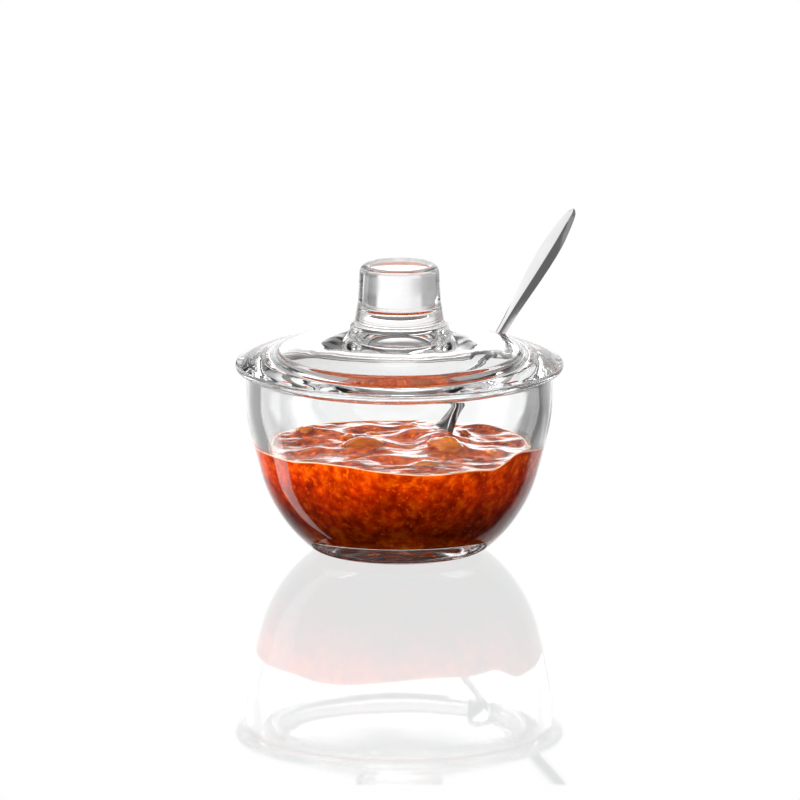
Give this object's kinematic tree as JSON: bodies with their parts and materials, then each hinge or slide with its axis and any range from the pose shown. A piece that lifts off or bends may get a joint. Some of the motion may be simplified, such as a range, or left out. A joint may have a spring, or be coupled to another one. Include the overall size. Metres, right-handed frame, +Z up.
{
  "type": "jam pot",
  "caption": "Clear glass jam pot: round footed bowl, domed lid with a solid knob and a slot, steel spoon standing in fruit jam.",
  "frame": {"origin": "centre of the flat ring under the bowl, on the surface the pot stands on", "axes": "+Z up along the axis of the bowl and lid; the picture looks along +Y with +X to the right; the spoon leans towards +X +Y"},
  "size_m": [0.1144, 0.1233, 0.1025],
  "materials": {
    "bowl_glass": "polished",
    "lid_glass": "polished",
    "steel": "polished",
    "jam": "gloss",
    "fruit": "gloss"
  },
  "bodies": {
    "pot": {"bowl": "bowl_glass", "jam": "jam", "fruit_pieces": "fruit"},
    "cover": {"lid": "lid_glass"},
    "jam_spoon": {"spoon": "steel"}
  },
  "joints": [
    {"name": "lid_lift", "type": "slide", "parent": "pot", "child": "cover", "axis": [0, 0, 1], "range_m": [0, 0.08]},
    {"name": "spoon_slide", "type": "slide", "parent": "pot", "child": "jam_spoon", "axis": [0.457, 0.5922, 0.6637], "range_m": [0, 0.02], "deforming": ["jam", "fruit_pieces"]}
  ]
}
